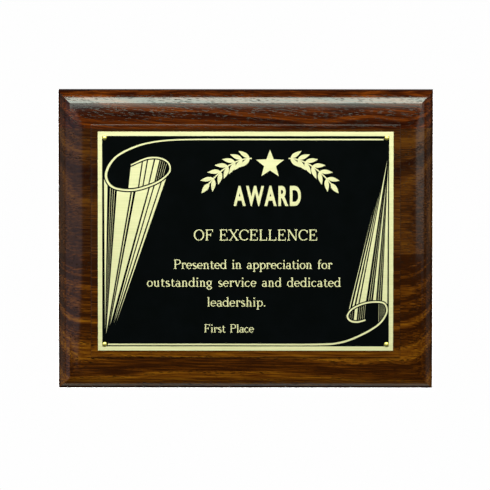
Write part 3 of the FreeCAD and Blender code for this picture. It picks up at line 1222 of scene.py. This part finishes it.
def star_outline(centre: Point, reach: float) -> Loop:
    """Outline a five-pointed star.

    Args:
        centre: its middle.
        reach: from the middle to a point.

    Returns:
        Its closed outline.
    """
    corners, waist = [], 0.42
    for number in range(10):
        radius = reach if number % 2 == 0 else reach * waist
        turn = math.pi / 2 + math.pi * number / 5
        corners.append(Vector((centre[0] + radius * math.cos(turn),
                               centre[1] + radius * math.sin(turn))))
    return corners


def leaf_outline(foot: Vector, tip: Vector, broad: float) -> Loop:
    """Outline a pointed leaf.

    Args:
        foot: where it joins the branch.
        tip: its point.
        broad: its greatest breadth.

    Returns:
        Its closed outline.
    """
    along = tip - foot
    side = Vector((-along.y, along.x)).normalized() * broad / 2
    shares = [step / 10 for step in range(11)]
    bulge = [math.sin(math.pi * share ** 0.8) for share in shares]
    edge = [foot + along * share + side * swell for share, swell in zip(shares, bulge)]
    back = [foot + along * share - side * swell for share, swell in zip(shares, bulge)]
    return edge + back[-2:0:-1]


def laurel_outlines(centre: Point, hand: int) -> list[Loop]:
    """Outline one arching branch of laurel.

    Args:
        centre: the middle of the pair of branches.
        hand: 1 for the right branch and -1 for the left.

    Returns:
        The outlines of the stem and its leaves.
    """
    near, far, rise, fall, leaves = 12.5, 42.0, 4.0, 18.0, 6
    splay, gap, long, broad, tip_broad = 0.72, 0.6, 7.8, 3.0, 3.4

    def on_stem(share: float) -> Vector:
        """Place a point along the branch."""
        return Vector((centre[0] + hand * (near + (far - near) * share),
                       centre[1] + rise - fall * share ** 2))

    shapes = [ribbon([(*on_stem(step / 12), 0.45) for step in range(13)])]
    for number in range(leaves):
        share = (number + 0.15) / leaves
        foot = on_stem(share)
        along = (on_stem(share + 0.05) - foot).normalized()
        for side in (1, -1):
            lean = Vector((along.x - side * splay * along.y, along.y + side * splay * along.x))
            shapes.append(leaf_outline(foot + lean * gap, foot + lean * long, broad))
    shapes.append(leaf_outline(on_stem(0.97), on_stem(1.15), tip_broad))
    return shapes


def mark_outlines(mark: Mark) -> list[Loop]:
    """Outline one of the plate's small drawings.

    Args:
        mark: which drawing.

    Returns:
        Its closed outlines in millimetres.
    """
    crest = (16.5, 52.5)
    if mark is Mark.STAR:
        return [star_outline(crest, 10.0)]
    return laurel_outlines(crest, 1 if mark is Mark.LAUREL_RIGHT else -1)


WORDINGS = (
    Wording("AWARD", -8.2, 37.4, 24.0, 37.9, Face.HEAVY),
    Wording("OF EXCELLENCE", -35.3, 49.1, 0.6, 8.1),
    Wording("Presented in appreciation for", -48.9, 58.9, -18.8, -12.4),
    Wording("outstanding service and dedicated", -66.8, 64.7, -31.0, -24.6),
    Wording("leadership.", -26.2, 13.8, -44.5, -38.1),
    Wording("First Place", -28.3, 5.8, -62.2, -56.6),
)


@dataclass
class EnamelFilm:
    """The black enamel on the plate, with the artwork left open to the brass."""

    width: float
    height: float
    back: float
    thick: float
    wordings: Sequence[Wording]
    pin_places: Sequence[Point]
    pin_radius: float = 0.7 * MM
    type_size: float = 10 * MM
    heavier: float = 0.35 * MM
    letter_space: float = 1.25

    def prism(self, outline: Loop) -> Thing:
        """Raise one outline into a prism that goes through the film.

        Args:
            outline: a closed outline in millimetres.

        Returns:
            The prism.
        """
        bpy.ops.object.select_all(action="DESELECT")
        flat = bpy.data.curves.new("outline", "CURVE")
        flat.dimensions = "2D"
        flat.fill_mode = "BOTH"
        spline = flat.splines.new("POLY")
        spline.points.add(len(outline) - 1)
        for point, place in zip(spline.points, outline):
            point.co = (place.x * MM, place.y * MM, 0, 1)
        spline.use_cyclic_u = True
        flat.extrude = self.thick * 2
        return self.stand_up(put_in("outline", flat))

    def heavy_lettering(self, line: Wording) -> Thing:
        """Set one line of heavy sans lettering and fit it to its box.

        Args:
            line: the line's words and box.

        Returns:
            The letters as prisms that go through the film.
        """
        bpy.ops.object.select_all(action="DESELECT")
        bpy.ops.object.text_add(radius=self.type_size)
        text = bpy.context.active_object
        text.data.body = line.words
        text.data.extrude = self.thick * 2
        # The strokes are thickened only so far that neighbouring outlines don't cross.
        text.data.offset = self.heavier
        text.data.space_character = self.letter_space
        text.data.resolution_u = 12
        choose(text)
        bpy.ops.object.convert(target="MESH")
        low, high = Vector(text.bound_box[0]), Vector(text.bound_box[6])
        wide = (line.right - line.left) * MM / (high.x - low.x)
        tall = (line.high - line.low) * MM / (high.y - low.y)
        with editing(text):
            bpy.ops.transform.translate(value=(-low.x, -low.y, 0))
            bpy.ops.transform.resize(value=(wide, tall, 1.0), center_override=(0, 0, 0))
            bpy.ops.transform.translate(value=(line.left * MM, line.low * MM, 0))
        return self.stand_up(text)

    def stand_up(self, shape: Thing) -> Thing:
        """Turn a flat shape upright and set it through the film.

        Args:
            shape: a curve or mesh drawn flat about the origin.

        Returns:
            The shape as a mesh.
        """
        choose(shape)
        if shape.type != "MESH":
            bpy.ops.object.convert(target="MESH")
        shape.rotation_euler = (math.pi / 2, 0, 0)
        shape.location = (0, self.back - self.thick / 2, 0)
        settle(shape)
        with editing(shape):
            bpy.ops.mesh.remove_doubles(threshold=0.001 * MM)
            bpy.ops.mesh.normals_make_consistent(inside=False)
        return shape

    def openings(self) -> list[Thing]:
        """Make a prism for every place where the brass is left bare.

        Returns:
            The prisms.
        """
        outlines = upper_scroll().outlines() + lower_scroll().outlines()
        for mark in Mark:
            outlines += mark_outlines(mark)
        for line in self.wordings:
            if line.face is Face.ROMAN:
                outlines += line.outlines()
        return [self.prism(outline) for outline in outlines] + [
            self.heavy_lettering(line) for line in self.wordings if line.face is Face.HEAVY]

    def pin_drills(self) -> list[Thing]:
        """Make a drill for each pin hole.

        Returns:
            The drills.
        """
        return [rod(self.pin_radius, self.thick * 4, (x, self.back, z))
                for x, z in self.pin_places]

    def build(self) -> None:
        """Model the film, open it and dress it."""
        bpy.ops.object.select_all(action="DESELECT")
        bpy.ops.mesh.primitive_cube_add(size=1.0, location=(0, self.back - self.thick / 2, 0))
        film = bpy.context.active_object
        film.scale = (self.width, self.thick, self.height)
        settle(film)
        cutters = self.openings() + self.pin_drills()
        choose(*cutters)
        bpy.ops.object.join()
        cut_away(film, bpy.context.active_object, tangled=True)
        finish_mesh(film, "enamel_film", smooth_degrees=10)
        coat(film, StovedEnamel().build())
        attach(film, BODY)
        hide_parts("enamel_coat")
        LOG.info("enamel film: %d openings, %d faces", len(cutters), len(film.data.polygons))


# ---------------------------------------------------------------------------
# Fittings
# ---------------------------------------------------------------------------
@dataclass
class EscutcheonPins:
    """Four small round-headed brass pins that hold the plate."""

    nodes: Sequence[str]
    seat: float
    head_radius: float = 1.7 * MM
    head_tall: float = 0.85 * MM
    shank_radius: float = 0.6 * MM
    length: float = 12 * MM

    def stations(self) -> list[Point]:
        """List the pin's radii and distances from the seat, from its tip to its crown.

        Returns:
            Pairs of radius and height above the seat.
        """
        tip_radius, taper, rings, ring_degrees = 0.08 * MM, 1.4 * MM, 9, 9.5
        run = [(tip_radius, -self.length), (self.shank_radius, -self.length + taper),
               (self.shank_radius, 0.0), (self.head_radius, 0.0)]
        top = math.sin(math.radians(ring_degrees * rings))
        for step in range(1, rings + 1):
            turn = math.radians(ring_degrees * step)
            run.append((self.head_radius * math.cos(turn),
                        self.head_tall * math.sin(turn) / top))
        return run

    def build(self) -> None:
        """Turn one pin, then copy it to every place."""
        sections = [(radius, radius, reach) for radius, reach in self.stations()]
        radius, _, level = sections[0]
        bpy.ops.object.select_all(action="DESELECT")
        bpy.ops.mesh.primitive_circle_add(
            vertices=40, radius=radius, fill_type="NGON", rotation=(math.pi / 2, 0, 0),
            location=(0, -level, 0))
        pin = bpy.context.active_object
        settle(pin)
        with editing(pin):
            draw_out(sections)
        brass = EngravingBrass("polished_pin_brass", "#ecd97c", "#d2bd55", 0.4).build()
        for node in self.nodes:
            x, z = centre_of(node)
            copied = copy_of(pin)
            bpy.ops.transform.translate(value=(x, self.seat, z))
            finish_mesh(copied, node.replace("plate_pin", "escutcheon_pin"), 40)
            coat(copied, brass)
            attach(copied, BODY)
            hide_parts(node)
            LOG.info("pin at %.1f, %.1f mm", x / MM, z / MM)
        bpy.data.objects.remove(pin)


@dataclass
class MetalParts:
    """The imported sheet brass, hangers and screws, which keep their shapes."""

    nodes: dict[str, Thing]

    def dress(self) -> None:
        """Give each kept part its metal."""
        finishes = {
            "engraving": EngravingBrass().build(),
            "keyhole": PlatedSteel("zinc_plated_hanger", "#c9cdd0", "#9fa5aa").build(),
            "hanger": PlatedSteel("zinc_plated_screw", "#d2d3cf", "#a7a9a6").build(),
        }
        for name, thing in self.nodes.items():
            kind = name.split("_")[0]
            if kind not in finishes:
                continue
            coat(thing, finishes[kind])
            LOG.info("dressed %s", name)


# ---------------------------------------------------------------------------
# Studio
# ---------------------------------------------------------------------------
def towards(azimuth: float, elevation: float) -> Vector:
    """Point from the plaque to a place round it.

    Args:
        azimuth: degrees to the right of straight in front.
        elevation: degrees above the level.

    Returns:
        The direction, one unit long.
    """
    turn, rise = math.radians(azimuth), math.radians(elevation)
    return Vector((math.sin(turn) * math.cos(rise), -math.cos(turn) * math.cos(rise),
                   math.sin(rise)))


@dataclass(frozen=True)
class Softbox:
    """A rectangular soft light that faces a place."""

    name: str
    azimuth: float
    elevation: float
    distance: float
    size: Point
    radiance: float
    colour: str = "#ffffff"
    aim: tuple[float, float, float] = (0.0, 0.0, 0.0)

    def build(self) -> Thing:
        """Hang the light.

        Returns:
            The light.
        """
        back = towards(self.azimuth, self.elevation)
        lamp = bpy.data.lights.new(self.name, "AREA")
        lamp.shape = "RECTANGLE"
        lamp.size, lamp.size_y = self.size
        lamp.energy = self.radiance * math.pi * self.size[0] * self.size[1]
        lamp.color = linear(self.colour)[:3]
        thing = put_in(self.name, lamp)
        thing.location = Vector(self.aim) + back * self.distance
        thing.rotation_euler = (-back).to_track_quat("-Z", "Y").to_euler()
        thing.visible_camera = False
        return thing


@dataclass
class Studio:
    """Pale floor, white surround, soft lights and the camera."""

    lights: Sequence[Softbox]
    floor_level: float = -2.0
    floor_radius: float = 0.4

    def lay_floor(self) -> None:
        """Lay a round sheet of white paper below the plaque."""
        bpy.ops.object.select_all(action="DESELECT")
        bpy.ops.mesh.primitive_cylinder_add(
            vertices=96, radius=self.floor_radius, depth=4 * MM,
            location=(0, 0, self.floor_level))
        floor = bpy.context.active_object
        settle(floor)
        floor.name = "paper_floor"
        floor.data.materials.append(StudioPaper().build())

    def surround(self) -> None:
        """Paint the world: white to look at, bright behind the plaque and dim before it."""
        world = bpy.data.worlds.new("studio")
        bpy.context.scene.world = world
        world.use_nodes = True
        tree = world.node_tree
        tree.nodes.clear()
        way = add_node(tree, "ShaderNodeTexCoord").outputs["Generated"]
        parts = add_node(tree, "ShaderNodeSeparateXYZ", {0: way})
        depth = math_node(tree, "MULTIPLY_ADD", parts.outputs["Y"], 0.5, 0.5)
        glow = ramp(tree, depth, [(0.0, "#1e2022"), (0.5, "#1c1e20"), (1.0, "#2a2a2a")])
        lit = add_node(tree, "ShaderNodeBackground", {"Color": glow, "Strength": 1.0})
        seen = add_node(
            tree, "ShaderNodeBackground", {"Color": linear("#fefefe"), "Strength": 1.0})
        eye = add_node(tree, "ShaderNodeLightPath").outputs["Is Camera Ray"]
        both = add_node(tree, "ShaderNodeMixShader", {
            0: eye, 1: lit.outputs[0], 2: seen.outputs[0]})
        add_node(tree, "ShaderNodeOutputWorld", {"Surface": both.outputs[0]})

    def place_camera(self) -> None:
        """Stand the camera in front of the plaque and a little above it."""
        lens = bpy.data.cameras.new("camera")
        lens.sensor_width = 36.0
        lens.lens = 651.0
        camera = put_in("camera", lens)
        aim = Vector((-0.4, -19.7, -2.5)) * MM
        roll, distance = math.radians(0.04), 6.0
        back = towards(0.0, 6.8)
        camera.location = aim + back * distance
        turn = (-back).to_track_quat("-Z", "Y").to_matrix().to_4x4()
        camera.rotation_euler = (turn @ Matrix.Rotation(roll, 4, "Z")).to_euler()
        bpy.context.scene.camera = camera

    def build(self) -> None:
        """Set the studio up."""
        bpy.context.scene.view_settings.view_transform = "Standard"
        self.lay_floor()
        self.surround()
        for light in self.lights:
            light.build()
        self.place_camera()
        LOG.info("studio: %d lights", len(self.lights))


def main() -> None:
    """Build every sub-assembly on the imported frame, then the studio."""
    logging.basicConfig(level=logging.INFO, format="%(name)s: %(message)s", force=True)
    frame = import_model()

    coat_low, coat_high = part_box("enamel_coat")
    outer = [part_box(f"walnut_board_{place}") for place in ("top", "bottom")]
    upper, lower = outer[0][0].z, outer[1][1].z
    pins = [name for name in frame["nodes"] if name.startswith("plate_pin")]

    WalnutBlock(
        width=outer[0][1].x - outer[0][0].x, height=outer[0][1].z - outer[1][0].z,
        depth=-outer[0][0].y, glue_lines=(upper, lower), plate_back=outer[0][0].y,
        pin_places=[centre_of(name) for name in pins],
    ).build()
    EnamelFilm(
        width=coat_high.x - coat_low.x, height=coat_high.z - coat_low.z, back=coat_high.y,
        thick=coat_high.y - coat_low.y, wordings=WORDINGS,
        pin_places=[centre_of(name) for name in pins],
    ).build()
    EscutcheonPins(pins, seat=coat_low.y).build()
    MetalParts(frame["nodes"]).dress()

    Studio([
        Softbox("key", 0, 41, 1.8, (2.0, 1.3), 12.0, "#ecfff0"),
        Softbox("key_skirt", 0, 17, 1.8, (2.0, 0.22), 2.5, "#ecfff0"),
        Softbox("side_right", 45, 12, 0.9, (0.36, 0.6), 1.1, "#dcebe6"),
        Softbox("rim_right", 80, 0, 0.9, (0.45, 0.8), 0.3, "#e6ebe0"),
        Softbox("side_left", -42, 0, 0.9, (0.70, 0.8), 0.6, "#d2def0"),
        Softbox("rim_left", -85, 0, 0.9, (0.60, 0.8), 0.4, "#e6ebe0"),
        Softbox("back_fill", 180, -12, 1.5, (1.4, 0.8), 10.0),
    ]).build()


if __name__ == "__main__":
    main()
